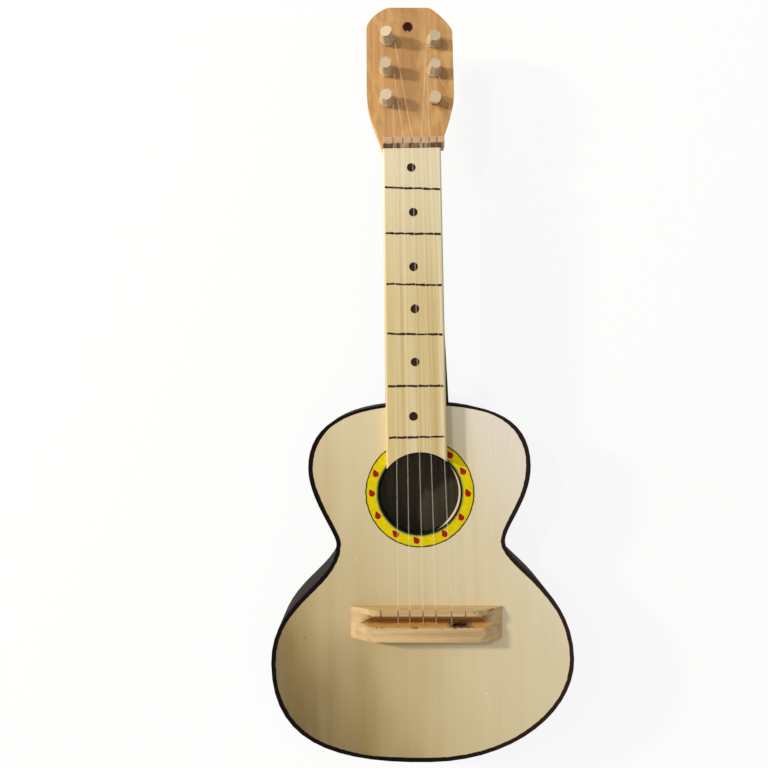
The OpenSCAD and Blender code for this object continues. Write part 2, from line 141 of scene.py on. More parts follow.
def close_material(tree, relief, depth, **surface):
    """Ends a material with its bump, whose depth is in millimetres, and its shader."""
    bump = add(tree, "Bump", {"Height": relief, "Strength": 1, "Distance": depth * MM})
    inputs = {name.replace("_", " "): value for name, value in surface.items()}
    shader = add(tree, "BsdfPrincipled", {**inputs, "Normal": bump})
    add(tree, "OutputMaterial", {"Surface": shader})


def only(piece):
    """Selects one object and makes it active."""
    bpy.ops.object.select_all(action="DESELECT")
    piece.select_set(True)
    bpy.context.view_layer.objects.active = piece


def settle(piece):
    """Puts an object's place, turn and size into its mesh."""
    only(piece)
    bpy.ops.object.transform_apply(location=True, rotation=True, scale=True)


def welded_copy(node, name):
    """A copy of a CAD node as one closed mesh with plain flat faces, which stands for the node."""
    piece = bpy.data.objects.new(name, frame["nodes"][node].data.copy())
    bpy.context.scene.collection.objects.link(piece)
    only(piece)
    bpy.ops.object.mode_set(mode="EDIT")
    bpy.ops.mesh.select_all(action="SELECT")
    bpy.ops.mesh.remove_doubles(threshold=0.002 * MM)
    bpy.ops.mesh.dissolve_limited(angle_limit=math.radians(0.3))
    bpy.ops.object.mode_set(mode="OBJECT")
    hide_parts(node)
    return piece


def select_edges(piece, wanted):
    """In edit mode, selects the edges for which wanted(start, end) holds."""
    bpy.ops.mesh.select_mode(type="EDGE")
    bpy.ops.mesh.select_all(action="DESELECT")
    shape = bmesh.from_edit_mesh(piece.data)
    for edge in shape.edges:
        if wanted(edge.verts[0].co, edge.verts[1].co):
            edge.select = True
    shape.select_flush_mode()
    bmesh.update_edit_mesh(piece.data)


def select_faces(piece, wanted):
    """In edit mode, selects the faces for which wanted(centre, normal) holds."""
    bpy.ops.mesh.select_mode(type="FACE")
    bpy.ops.mesh.select_all(action="DESELECT")
    shape = bmesh.from_edit_mesh(piece.data)
    for face in shape.faces:
        if wanted(face.calc_center_median(), face.normal):
            face.select = True
    shape.select_flush_mode()
    bmesh.update_edit_mesh(piece.data)


def ease_edges(piece, width, segments=2, angle=35):
    """Rounds every edge sharper than an angle, as sandpaper does."""
    bevel = piece.modifiers.new("eased edges", "BEVEL")
    bevel.width = width * MM
    bevel.segments = segments
    bevel.limit_method = "ANGLE"
    bevel.angle_limit = math.radians(angle)
    only(piece)
    bpy.ops.object.modifier_apply(modifier=bevel.name)


def join(pieces, name):
    """Joins pieces into one, with every face pointing outwards."""
    only(pieces[0])
    for piece in pieces:
        piece.select_set(True)
    bpy.ops.object.join()
    piece = bpy.context.object
    piece.name = name
    bpy.ops.object.mode_set(mode="EDIT")
    bpy.ops.mesh.select_all(action="SELECT")
    bpy.ops.mesh.normals_make_consistent(inside=False)
    bpy.ops.object.mode_set(mode="OBJECT")
    return piece


def finish_piece(piece, body, material, smooth=35):
    """Shades, paints and hands over a finished piece."""
    only(piece)
    bpy.ops.object.shade_smooth_by_angle(angle=math.radians(smooth))
    # large faces keep their own normals, so that a rounded edge doesn't shade the flat beside it
    flats = piece.modifiers.new("true flats", "WEIGHTED_NORMAL")
    flats.keep_sharp = True
    bpy.ops.object.modifier_apply(modifier=flats.name)
    piece.data.materials.clear()
    piece.data.materials.append(material)
    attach(piece, body)
    return piece


def wear_material(node, material):
    """Gives a CAD node that is shown as it is its material."""
    data = frame["nodes"][node].data
    data.materials.clear()
    data.materials.append(material)


# ---------------------------------------------------------------- finishes

# The painted ring, as distances in millimetres from the sound hole's middle: where black gives way to
# green, green to yellow and yellow to the thin brown line, and where the line ends
BLACK_TO_GREEN = (33.9, 34.7)
GREEN_TO_YELLOW = (34.3, 36)
YELLOW_TO_LINE = (42.6, 43.1)
RING_END = 43.9
# The crescent of the hole's wall that was left raw, in millimetres: it starts at the first distance from
# this place, and is raw all over from the second
RAW_CENTRE = (-6.8, HOLE_PLACE[1] + 1.4, 0)
RAW_START, RAW_FULL = 36.6, 37.6
# Angles round the sound hole, in degrees, of the ten painted drops, and their circle and own radius
DROPS = [156, 180, 208, 239, 265, 300, 328, 358, 25, 50]
DROP_CIRCLE = 38.2
DROP_R = 2.4
# The painted rim in millimetres: its least width, how much the hand adds to it in slow sways and quick
# shakes, and between which places along the body it narrows
RIM_WIDTH = 2.3
RIM_SWAY = 1.8
RIM_SHAKE = 0.9
SHOULDER_Y = (-44, -18)
# Small marks on the soundboard: place in millimetres, radius and colour
MARKS = [(-93, -199, 1.1, "#7a6238"), (-51, -138, 0.9, "#efe6cf"),
         (50, -246, 1.2, "#efe6cf"), (-64, -286, 1.3, "#7a6238")]


def sealed_poplar():
    """Poplar plywood, sanded and wiped with thin sealer: pale, with soft upright bands and faint pores.

    The top is darker and browner to the left and the tail: painted shade, in slow blotches. The painted rim
    follows the edge by the mesh's own from_edge attribute, and the painted ring follows the sound hole.
    """
    material, tree, place, (x, y, z) = new_material("sealed_poplar_plywood")

    # wood: bands 11 mm wide, fibres 0.9 mm wide, drawn wider than real ones so that they show; the pale bands
    # are a painted reflection of the sealer's sheen
    stretched = add(tree, "Mapping", {0: place, "Scale": grains(11, 420, 40)})
    bands = add(tree, "TexNoise", {"Vector": stretched, "Scale": 1, "Detail": 3})
    stretched = add(tree, "Mapping", {0: place, "Scale": grains(0.9, 34, 8)})
    fibres = add(tree, "TexNoise", {"Vector": stretched, "Scale": 1, "Detail": 4})
    stretched = add(tree, "Mapping", {0: place, "Scale": grains(60, 110, 60)})
    blotches = add(tree, "TexNoise", {"Vector": stretched, "Scale": 1, "Detail": 2})
    # painted shade: darker and browner towards the left and the tail, in slow blotches
    slant = add(tree, "Math", {0: y, 1: 0.55, 2: x}, operation="MULTIPLY_ADD")
    slant = add(tree, "Math", {0: blotches, 1: 70, 2: slant}, operation="MULTIPLY_ADD")
    painted_shade = add(tree, "MapRange", {0: slant, 1: -235, 2: 105})
    wood = add(tree, "ValToRGB", {0: painted_shade}, stops=[
        (0.05, "#6c5a33"), (0.17, "#887344"), (0.33, "#bca778"), (0.56, "#d4c59d"), (0.78, "#dccfac"),
        (0.93, "#e5dccb")])
    # painted reflection: the bands lighten in soft upright stripes, as a sheen on the sealer
    light = add(tree, "MapRange", {0: bands, 1: 0.3, 2: 0.7, 3: 0, 4: 0.09})
    wood = add(tree, "Mix", {0: light, 6: wood, 7: "#efe7d4"}, out=2, data_type="RGBA")
    dark = add(tree, "MapRange", {0: fibres, 1: 0.48, 2: 0.75, 3: 0, 4: 0.1})
    wood = add(tree, "Mix", {0: dark, 6: wood, 7: "#b39c6c"}, out=2, data_type="RGBA")

    flat = add(tree, "CombineXYZ", {0: x, 1: y})
    for mark_x, mark_y, radius, code in MARKS:
        away = add(tree, "VectorMath", {0: flat, 1: (mark_x, mark_y, 0)}, out="Value", operation="DISTANCE")
        spot = add(tree, "MapRange", {0: away, 1: radius * 0.5, 2: radius, 3: 0.55, 4: 0})
        wood = add(tree, "Mix", {0: spot, 6: wood, 7: code}, out=2, data_type="RGBA")

    # painted ring: black at the hole, greenish where the colours ran together, yellow, a thin brown line
    radius = add(tree, "VectorMath", {0: flat, 1: HOLE_PLACE}, out="Value", operation="DISTANCE")
    tremble = add(tree, "TexNoise", {"Vector": place, "Scale": 0.25, "Detail": 2})
    radius = add(tree, "Math", {0: tremble, 1: 1.1, 2: radius}, operation="MULTIPLY_ADD")
    coats = add(tree, "TexNoise", {"Vector": place, "Scale": 0.3, "Detail": 3})
    yellow = add(tree, "ValToRGB", {0: coats}, stops=[(0.3, "#d3bb03"), (0.55, "#dcc804"), (0.75, "#e3d20a")])
    edge = add(tree, "MapRange", {0: radius, 1: YELLOW_TO_LINE[0], 2: YELLOW_TO_LINE[1]})
    ring = add(tree, "Mix", {0: edge, 6: yellow, 7: "#3f2f1c"}, out=2, data_type="RGBA")
    edge = add(tree, "MapRange", {0: radius, 1: GREEN_TO_YELLOW[0], 2: GREEN_TO_YELLOW[1]})
    ring = add(tree, "Mix", {0: edge, 6: "#4b6448", 7: ring}, out=2, data_type="RGBA")
    edge = add(tree, "MapRange", {0: radius, 1: BLACK_TO_GREEN[0], 2: BLACK_TO_GREEN[1]})
    ring = add(tree, "Mix", {0: edge, 6: "#0f120d", 7: ring}, out=2, data_type="RGBA")
    on_ring = add(tree, "Math", {0: radius, 1: RING_END}, operation="LESS_THAN")
    colour = add(tree, "Mix", {0: on_ring, 6: wood, 7: ring}, out=2, data_type="RGBA")

    # the brush missed the hole's wall on the right, which shows raw wood
    right = add(tree, "VectorMath", {0: flat, 1: RAW_CENTRE}, out="Value", operation="DISTANCE")
    raw = add(tree, "MapRange", {0: right, 1: RAW_START, 2: RAW_FULL})
    below = add(tree, "MapRange", {0: z, 1: TOP_Z - 0.3, 2: TOP_Z - 0.7})
    raw = add(tree, "Math", {0: raw, 1: below}, operation="MULTIPLY")
    in_hole = add(tree, "Math", {0: radius, 1: 34}, operation="LESS_THAN")
    raw = add(tree, "Math", {0: raw, 1: in_hole}, operation="MULTIPLY")
    colour = add(tree, "Mix", {0: raw, 6: colour, 7: "#c9b394"}, out=2, data_type="RGBA")

    # painted rim: its width, in millimetres, sways and shakes with the hand that drew it, and narrows near
    # the neck, and towards the right its black turns brown, a painted sheen where light glances off it
    from_edge = add(tree, "Attribute", out="Fac", attribute_name="from_edge")
    sway = add(tree, "TexNoise", {"Vector": place, "Scale": 0.022, "Detail": 2})
    shake = add(tree, "TexNoise", {"Vector": place, "Scale": 0.25, "Detail": 2})
    width = add(tree, "Math", {0: sway, 1: RIM_SWAY, 2: RIM_WIDTH}, operation="MULTIPLY_ADD")
    width = add(tree, "Math", {0: shake, 1: RIM_SHAKE, 2: width}, operation="MULTIPLY_ADD")
    taper = add(tree, "MapRange", {0: y, 1: SHOULDER_Y[0], 2: SHOULDER_Y[1], 3: 1, 4: 0.6})
    width = add(tree, "Math", {0: width, 1: taper}, operation="MULTIPLY")
    gap = add(tree, "Math", {0: width, 1: from_edge}, operation="SUBTRACT")
    on_rim = add(tree, "MapRange", {0: gap, 1: -0.15, 2: 0.15})
    dry = add(tree, "TexNoise", {"Vector": place, "Scale": 0.45, "Detail": 3})
    black = add(tree, "ValToRGB", {0: dry}, stops=[(0.35, "#050303"), (0.7, "#140d0b")])
    # painted sheen: the rim's black turns brown towards the right
    wear_and_sheen = add(tree, "MapRange", {0: x, 1: 0, 2: 110, 3: 0, 4: 0.75})
    black = add(tree, "Mix", {0: wear_and_sheen, 6: black, 7: "#35241f"}, out=2, data_type="RGBA")
    colour = add(tree, "Mix", {0: on_rim, 6: colour, 7: black}, out=2, data_type="RGBA")

    painted = add(tree, "Math", {0: on_rim, 1: on_ring}, operation="MAXIMUM")
    gloss = add(tree, "MapRange", {0: painted, 3: 0.55, 4: 0.62})
    relief = add(tree, "Math", {0: painted, 1: 1.2, 2: fibres}, operation="MULTIPLY_ADD")
    close_material(tree, relief, 0.05, Base_Color=colour, Roughness=gloss, Specular_IOR_Level=0.06)
    return material


# A place near the middle of the body, along it, and a height between its two boards, in millimetres
BODY_MIDDLE_Y = -170
INSIDE_LOW = 10


def brushed_enamel():
    """Black-brown oil enamel, brushed on by hand and dull with age, with brush lines and browner worn places.

    Inside the body the same boards are bare and dark greyish brown, so the wood shows through the hole.
    """
    material, tree, place, (_, _, z) = new_material("brushed_black_brown_enamel")
    # the brush went round the sides, and up and down the back
    stretched = add(tree, "Mapping", {0: place, "Scale": grains(28, 28, 0.9)})
    round_sides = add(tree, "TexNoise", {"Vector": stretched, "Scale": 1, "Detail": 3})
    stretched = add(tree, "Mapping", {0: place, "Scale": grains(1.3, 70, 9)})
    down_back = add(tree, "TexNoise", {"Vector": stretched, "Scale": 1, "Detail": 3})
    facing = add(tree, "TexCoord", out="Normal")
    upward = add(tree, "VectorMath", {0: facing, 1: (0, 0, 1)}, out="Value", operation="DOT_PRODUCT")
    level = add(tree, "Math", {0: upward}, operation="ABSOLUTE")
    level = add(tree, "Math", {0: level, 1: 0.7}, operation="GREATER_THAN")
    brush = add(tree, "Mix", {0: level, 2: round_sides, 3: down_back})
    wear_and_sheen = add(tree, "TexNoise", {"Vector": place, "Scale": 0.08, "Detail": 3})
    coat = add(tree, "ValToRGB", {0: brush}, stops=[(0.35, "#19130f"), (0.65, "#2d231c")])
    worn = add(tree, "MapRange", {0: wear_and_sheen, 1: 0.55, 2: 0.78, 3: 0, 4: 0.28})
    coat = add(tree, "Mix", {0: worn, 6: coat, 7: "#4e3c2f"}, out=2, data_type="RGBA")

    # a face is an inner one if it looks towards the middle of the body or up from the back board
    near = add(tree, "VectorMath", {0: place, 1: (0, -BODY_MIDDLE_Y, 0)}, operation="ADD")
    near = add(tree, "VectorMath", {0: near, 1: (1, 0.25, 0)}, operation="MULTIPLY")
    outwards = add(tree, "VectorMath", {0: facing, 1: near}, out="Value", operation="DOT_PRODUCT")
    inner_wall = add(tree, "Math", {0: outwards, 1: -2}, operation="LESS_THAN")
    floor = add(tree, "Math", {0: upward, 1: 0.9}, operation="GREATER_THAN")
    low = add(tree, "Math", {0: z, 1: INSIDE_LOW}, operation="LESS_THAN")
    floor = add(tree, "Math", {0: floor, 1: low}, operation="MULTIPLY")
    bare = add(tree, "Math", {0: inner_wall, 1: floor}, operation="MAXIMUM")
    stretched = add(tree, "Mapping", {0: place, "Scale": grains(2.5, 60, 20)})
    grain = add(tree, "TexNoise", {"Vector": stretched, "Scale": 1, "Detail": 3})
    wood = add(tree, "ValToRGB", {0: grain}, stops=[(0.3, "#5f5646"), (0.7, "#776d5b")])
    colour = add(tree, "Mix", {0: bare, 6: coat, 7: wood}, out=2, data_type="RGBA")
    gloss = add(tree, "MapRange", {0: bare, 3: 0.68, 4: 0.85})
    close_material(tree, brush, 0.1, Base_Color=colour, Roughness=gloss, Specular_IOR_Level=0.04)
    return material


# Radius of the hanging hole, and where along the head its darker middle, from handling and painted peg
# shadow, fades in, in millimetres
HANG_R = 4.1
HANDLING_SHADOW_Y = (205, 225)


def painted_cedar():
    """Cedar, sanded bare on the head and brushed with black-brown enamel on the neck's sides and back."""
    material, tree, place, (x, y, z) = new_material("cedar_with_enamelled_neck")
    stretched = add(tree, "Mapping", {0: place, "Scale": grains(4.2, 260, 9)})
    rings = add(tree, "TexNoise", {"Vector": stretched, "Scale": 1, "Detail": 4, "Distortion": 0.3})
    stretched = add(tree, "Mapping", {0: place, "Scale": grains(0.5, 16, 3)})
    fibres = add(tree, "TexNoise", {"Vector": stretched, "Scale": 1, "Detail": 3})
    wood = add(tree, "ValToRGB", {0: rings}, stops=[(0.3, "#b98a54"), (0.5, "#c79964"), (0.72, "#d3aa77")])
    dark = add(tree, "MapRange", {0: fibres, 1: 0.48, 2: 0.72, 3: 0, 4: 0.35})
    wood = add(tree, "Mix", {0: dark, 6: wood, 7: "#9c6c3f"}, out=2, data_type="RGBA")
    # golden, mottled patches a few millimetres wide
    stretched = add(tree, "Mapping", {0: place, "Scale": grains(8, 20, 8)})
    patches = add(tree, "TexNoise", {"Vector": stretched, "Scale": 1, "Detail": 3, "Distortion": 0.8})
    golden = add(tree, "MapRange", {0: patches, 1: 0.46, 2: 0.64, 3: 0, 4: 0.55})
    wood = add(tree, "Mix", {0: golden, 6: wood, 7: "#dab171"}, out=2, data_type="RGBA")
    # the head is darker along its middle, between the pegs: partly handling, partly painted shadow of the
    # pegs
    across = add(tree, "Math", {0: x, 1: NECK_X * TO_MM}, operation="SUBTRACT")
    across = add(tree, "Math", {0: across}, operation="ABSOLUTE")
    handling_and_shadow = add(tree, "MapRange", {0: across, 1: 15, 2: 3, 3: 0, 4: 0.45})
    high = add(tree, "MapRange", {0: y, 1: HANDLING_SHADOW_Y[0], 2: HANDLING_SHADOW_Y[1]})
    handling_and_shadow = add(tree, "Math", {0: handling_and_shadow, 1: high}, operation="MULTIPLY")
    wood = add(tree, "Mix", {0: handling_and_shadow, 6: wood, 7: "#9a6c42"}, out=2, data_type="RGBA")

    # painted shade in the hanging hole: its wall is dark reddish brown
    flat = add(tree, "CombineXYZ", {0: x, 1: y})
    away = add(tree, "VectorMath", {0: flat, 1: HANG_PLACE}, out="Value", operation="DISTANCE")
    hang_hole_shade = add(tree, "MapRange", {0: away, 1: HANG_R + 0.2, 2: HANG_R - 0.2})
    wood = add(tree, "Mix", {0: hang_hole_shade, 6: wood, 7: "#6e2c18"}, out=2, data_type="RGBA")

    # the enamel ends raggedly at the nut and stops under the fretboard
    uneven = add(tree, "TexNoise", {"Vector": place, "Scale": 0.2, "Detail": 2})
    end = add(tree, "Math", {0: uneven, 1: 7, 2: y}, operation="MULTIPLY_ADD")
    on_neck = add(tree, "MapRange", {0: end, 1: NUT_Y + 2, 2: NUT_Y})
    below = add(tree, "Math", {0: z, 1: FRET_LOW.z * TO_MM + 0.1}, operation="LESS_THAN")
    enamel = add(tree, "Math", {0: on_neck, 1: below}, operation="MULTIPLY")
    stretched = add(tree, "Mapping", {0: place, "Scale": grains(1.2, 30, 1.2)})
    brush = add(tree, "TexNoise", {"Vector": stretched, "Scale": 1, "Detail": 3})
    coat = add(tree, "ValToRGB", {0: brush}, stops=[(0.35, "#1b1412"), (0.65, "#2e2421")])
    colour = add(tree, "Mix", {0: enamel, 6: wood, 7: coat}, out=2, data_type="RGBA")
    gloss = add(tree, "MapRange", {0: enamel, 3: 0.58, 4: 0.5})
    close_material(tree, fibres, 0.07, Base_Color=colour, Roughness=gloss, Specular_IOR_Level=0.07)
    return material


# Inked fret lines: places in millimetres at the left and the right edge of the fretboard
FRET_LINES = [(155, 152.5), (119, 117.5), (79.5, 77.5), (40.5, 39), (-0.5, -1), (-41, -40.5)]
# How far the lines reach from the fretboard's middle before the marker was lifted
LINE_REACH = 21.4
# Inked dots: places and radius in millimetres
FRET_DOTS = [(-3, 170), (-2, 135), (-2.5, 92.5), (-2, 59.5), (-2.5, 18), (-4.5, -24.5)]
DOT_R = 3.5


def inked_pine():
    """Slab of quarter-sawn pine: straight rings 5 to 6 mm apart, with frets and dots in black marker."""
    material, tree, place, (x, y, z) = new_material("pine_with_marker_frets")
    stretched = add(tree, "Mapping", {0: place, "Scale": grains(5.4, 420, 40)})
    rings = add(tree, "TexNoise", {"Vector": stretched, "Scale": 1, "Detail": 1.5})
    stretched = add(tree, "Mapping", {0: place, "Scale": grains(0.6, 22, 4)})
    fibres = add(tree, "TexNoise", {"Vector": stretched, "Scale": 1, "Detail": 3})
    wood = add(tree, "ValToRGB", {0: rings}, stops=[
        (0.3, "#cbb37c"), (0.45, "#d5c08c"), (0.55, "#dccb9d"), (0.72, "#e8dcbb")])
    dark = add(tree, "MapRange", {0: fibres, 1: 0.5, 2: 0.74, 3: 0, 4: 0.16})
    wood = add(tree, "Mix", {0: dark, 6: wood, 7: "#b3925d"}, out=2, data_type="RGBA")
    # hands have not reached the far end, which is paler
    clean = add(tree, "MapRange", {0: y, 1: 60, 2: 170, 3: 0, 4: 0.65})
    wood = add(tree, "Mix", {0: clean, 6: wood, 7: "#ebe1c2"}, out=2, data_type="RGBA")

    # marker: each line wavers and swells, as one drawn along a ruler by hand
    tremble = add(tree, "TexNoise", {"Vector": place, "Scale": 0.14, "Detail": 3})
    wavy = add(tree, "Math", {0: tremble, 1: 1.6, 2: y}, operation="MULTIPLY_ADD")
    wavy = add(tree, "Math", {0: wavy, 1: 0.8}, operation="SUBTRACT")
    load = add(tree, "TexNoise", {"Vector": place, "Scale": 0.17, "Detail": 2})
    reach = add(tree, "Math", {0: load, 1: 1.1, 2: 0.3}, operation="MULTIPLY_ADD")
    width = (FRET_HIGH.x - FRET_LOW.x) * TO_MM
    ink = 0
    for left, right in FRET_LINES:
        slope = (right - left) / width
        line = add(tree, "Math", {0: x, 1: slope, 2: left - slope * FRET_LOW.x * TO_MM},
                   operation="MULTIPLY_ADD")
        away = add(tree, "Math", {0: wavy, 1: line}, operation="SUBTRACT")
        away = add(tree, "Math", {0: away}, operation="ABSOLUTE")
        inside = add(tree, "Math", {0: reach, 1: away}, operation="SUBTRACT")
        stroke = add(tree, "MapRange", {0: inside, 1: -0.18, 2: 0.18})
        ink = add(tree, "Math", {0: ink, 1: stroke}, operation="MAXIMUM")
    across = add(tree, "Math", {0: x, 1: NECK_X * TO_MM}, operation="SUBTRACT")
    across = add(tree, "Math", {0: across}, operation="ABSOLUTE")
    inked = add(tree, "MapRange", {0: across, 1: LINE_REACH + 0.5, 2: LINE_REACH})
    ink = add(tree, "Math", {0: ink, 1: inked}, operation="MULTIPLY")
    flat = add(tree, "CombineXYZ", {0: x, 1: wavy})
    for dot_x, dot_y in FRET_DOTS:
        away = add(tree, "VectorMath", {0: flat, 1: (dot_x, dot_y, 0)}, out="Value", operation="DISTANCE")
        dot = add(tree, "MapRange", {0: away, 1: DOT_R + 0.15, 2: DOT_R - 0.2})
        ink = add(tree, "Math", {0: ink, 1: dot}, operation="MAXIMUM")
    on_top = add(tree, "MapRange", {0: z, 1: FRET_Z - 0.6, 2: FRET_Z - 0.3})
    ink = add(tree, "Math", {0: ink, 1: on_top}, operation="MULTIPLY")
    colour = add(tree, "Mix", {0: ink, 6: wood, 7: "#251512"}, out=2, data_type="RGBA")
    gloss = add(tree, "MapRange", {0: ink, 3: 0.52, 4: 0.46})
    close_material(tree, fibres, 0.05, Base_Color=colour, Roughness=gloss, Specular_IOR_Level=0.15)
    return material


def inked_nut_wood():
    """Offcut of reddish cedar across the grain, with a broken marker line along its foot."""
    material, tree, place, (_, y, z) = new_material("cedar_nut_with_marker_line")
    stretched = add(tree, "Mapping", {0: place, "Scale": grains(14, 0.7, 0.7)})
    fibres = add(tree, "TexNoise", {"Vector": stretched, "Scale": 1, "Detail": 3})
    wood = add(tree, "ValToRGB", {0: fibres}, stops=[(0.3, "#b8916a"), (0.55, "#c8a27b"), (0.75, "#d3b18f")])
    tremble = add(tree, "TexNoise", {"Vector": place, "Scale": 0.3, "Detail": 2})
    wavy = add(tree, "Math", {0: tremble, 1: 2, 2: y}, operation="MULTIPLY_ADD")
    ink = add(tree, "MapRange", {0: wavy, 1: NUT_Y + 4.3, 2: NUT_Y + 3.5})
    stretched = add(tree, "Mapping", {0: place, "Scale": grains(4, 40, 40)})
    load = add(tree, "TexNoise", {"Vector": stretched, "Scale": 1, "Detail": 1})
    dashes = add(tree, "MapRange", {0: load, 1: 0.42, 2: 0.54, 3: 0.1, 4: 0.9})
    ink = add(tree, "Math", {0: ink, 1: dashes}, operation="MULTIPLY")
    above = add(tree, "Math", {0: z, 1: FRET_Z}, operation="GREATER_THAN")
    ink = add(tree, "Math", {0: ink, 1: above}, operation="MULTIPLY")
    colour = add(tree, "Mix", {0: ink, 6: wood, 7: "#462c18"}, out=2, data_type="RGBA")
    close_material(tree, fibres, 0.08, Base_Color=colour, Roughness=0.6, Specular_IOR_Level=0.3)
    return material


# Places on the bridge, in millimetres up from the top edge of its steep slope: where the valley ends, where
# the saw cuts start, how far the torn pocket reaches, and the slope's own foot
VALLEY_TOP = 9.8
CUTS_START = 7
POCKET_TOP = 6
SLOPE_FOOT = -10
# Distances along the bridge from its middle: between which the valley's stain and painted shade fade out, and
# within which all the saw cuts and string holes lie
STAIN_AND_SHADE_FADE = (44, 52)
CUTS_REACH = 40


def sawn_bridge_wood():
    """Sawn cedar with the grain along the bridge, stained in the valley, with painted shade on the valley's
    upper slope, at the string holes and in the torn pocket, and painted light in the saw cuts.
    """
    material, tree, place, (x, y, z) = new_material("sawn_cedar_bridge")
    stretched = add(tree, "Mapping", {0: place, "Scale": grains(120, 3.4, 2.6)})
    rings = add(tree, "TexNoise", {"Vector": stretched, "Scale": 1, "Detail": 3, "Distortion": 0.3})
    stretched = add(tree, "Mapping", {0: place, "Scale": grains(9, 0.5, 0.5)})
    fibres = add(tree, "TexNoise", {"Vector": stretched, "Scale": 1, "Detail": 3})
    wood = add(tree, "ValToRGB", {0: rings}, stops=[(0.3, "#b8986a"), (0.5, "#c6a878"), (0.72, "#d4b787")])
    dark = add(tree, "MapRange", {0: fibres, 1: 0.5, 2: 0.72, 3: 0, 4: 0.35})
    wood = add(tree, "Mix", {0: dark, 6: wood, 7: "#a07c4c"}, out=2, data_type="RGBA")

    # the bridge's own directions: along it from its middle, and up from the top edge of the steep slope
    along = add(tree, "Math", {0: x, 1: BRIDGE_X}, operation="SUBTRACT")
    up = add(tree, "Math", {0: along, 1: BRIDGE_SLANT, 2: y}, operation="MULTIPLY_ADD")
    up = add(tree, "Math", {0: up, 1: SLOPE_Y}, operation="SUBTRACT")
    from_middle = add(tree, "Math", {0: along}, operation="ABSOLUTE")

    sunk = add(tree, "MapRange", {0: z, 1: BRIDGE_Z - 0.2, 2: BRIDGE_Z - 0.9})
    valley = add(tree, "MapRange", {0: up, 1: 0, 2: 0.4})
    valley_end = add(tree, "MapRange", {0: up, 1: VALLEY_TOP, 2: VALLEY_TOP - 0.4})
    valley = add(tree, "Math", {0: valley, 1: valley_end}, operation="MULTIPLY")
    valley = add(tree, "Math", {0: valley, 1: sunk}, operation="MULTIPLY")
    within = add(tree, "MapRange", {0: from_middle, 1: STAIN_AND_SHADE_FADE[1], 2: STAIN_AND_SHADE_FADE[0]})
    valley = add(tree, "Math", {0: valley, 1: within}, operation="MULTIPLY")
    stretched = add(tree, "Mapping", {0: place, "Scale": grains(9, 2, 2)})
    smear = add(tree, "TexNoise", {"Vector": stretched, "Scale": 1, "Detail": 3})
    upper = add(tree, "Math", {0: smear, 1: 5, 2: up}, operation="MULTIPLY_ADD")
    # the valley is stained, and darker towards its upper slope, which faces away from the light: painted
    # shade
    stain_and_shade = add(tree, "ValToRGB", {
        0: add(tree, "MapRange", {0: upper, 1: 2, 2: 11}),
    }, stops=[(0.12, "#c6964f"), (0.26, "#b98845"), (0.38, "#91632c"), (0.6, "#6c4319"), (0.9, "#8a5c2a")])
    colour = add(tree, "Mix", {0: valley, 6: wood, 7: stain_and_shade}, out=2, data_type="RGBA")

    # the saw cuts' walls are raw sawn wood, painted paler still: painted light that lifts the shade in the
    # narrow cuts
    facing = add(tree, "TexCoord", out="Normal")
    sideways = add(tree, "VectorMath", {0: facing, 1: (1, 0, 0)}, out="Value", operation="DOT_PRODUCT")
    sideways = add(tree, "Math", {0: sideways}, operation="ABSOLUTE")
    raw_and_lit_cut_walls = add(tree, "MapRange", {0: sideways, 1: 0.8, 2: 0.9, 3: 0, 4: 0.85})
    upper_part = add(tree, "Math", {0: up, 1: CUTS_START}, operation="GREATER_THAN")
    raw_and_lit_cut_walls = add(tree, "Math", {0: raw_and_lit_cut_walls, 1: upper_part}, operation="MULTIPLY")
    clear_of_ends = add(tree, "Math", {0: from_middle, 1: CUTS_REACH}, operation="LESS_THAN")
    raw_and_lit_cut_walls = add(tree, "Math", {0: raw_and_lit_cut_walls, 1: clear_of_ends}, operation="MULTIPLY")
    colour = add(tree, "Mix", {0: raw_and_lit_cut_walls, 6: colour, 7: "#ecd9b0"}, out=2, data_type="RGBA")

    # painted shade: brown marks along the top edge of the steep slope, where the strings go into their holes
    on_edge = add(tree, "Math", {0: up}, operation="ABSOLUTE")
    on_edge = add(tree, "MapRange", {0: on_edge, 1: 0.9, 2: 0.4})
    stretched = add(tree, "Mapping", {0: place, "Scale": grains(3, 8, 8)})
    hole_edge_shade = add(tree, "TexNoise", {"Vector": stretched, "Scale": 1, "Detail": 2})
    hole_edge_shade = add(tree, "MapRange", {0: hole_edge_shade, 1: 0.52, 2: 0.6, 3: 0, 4: 0.7})
    hole_edge_shade = add(tree, "Math", {0: hole_edge_shade, 1: on_edge}, operation="MULTIPLY")
    hole_edge_shade = add(tree, "Math", {0: hole_edge_shade, 1: clear_of_ends}, operation="MULTIPLY")
    colour = add(tree, "Mix", {0: hole_edge_shade, 6: colour, 7: "#6e451f"}, out=2, data_type="RGBA")

    # painted shade: below the wood's own surfaces, in the torn pocket and the drilled holes, it is dark
    recess_shade = add(tree, "MapRange", {0: up, 1: 0.1, 2: -0.3})
    buried = add(tree, "Math", {0: z, 1: BRIDGE_Z - 0.7}, operation="LESS_THAN")
    over = add(tree, "Math", {0: up, 1: SLOPE_FOOT}, operation="GREATER_THAN")
    recess_shade = add(tree, "Math", {0: recess_shade, 1: buried}, operation="MULTIPLY")
    recess_shade = add(tree, "Math", {0: recess_shade, 1: over}, operation="MULTIPLY")
    low = add(tree, "Math", {0: z, 1: TOP_Z + VALLEY_FLOOR}, operation="LESS_THAN")
    inwards = add(tree, "Math", {0: up, 1: POCKET_TOP}, operation="LESS_THAN")
    low = add(tree, "Math", {0: low, 1: inwards}, operation="MULTIPLY")
    low = add(tree, "Math", {0: low, 1: over}, operation="MULTIPLY")
    recess_shade = add(tree, "Math", {0: recess_shade, 1: low}, operation="MAXIMUM")
    recess_shade = add(tree, "Math", {0: recess_shade, 1: clear_of_ends}, operation="MULTIPLY")
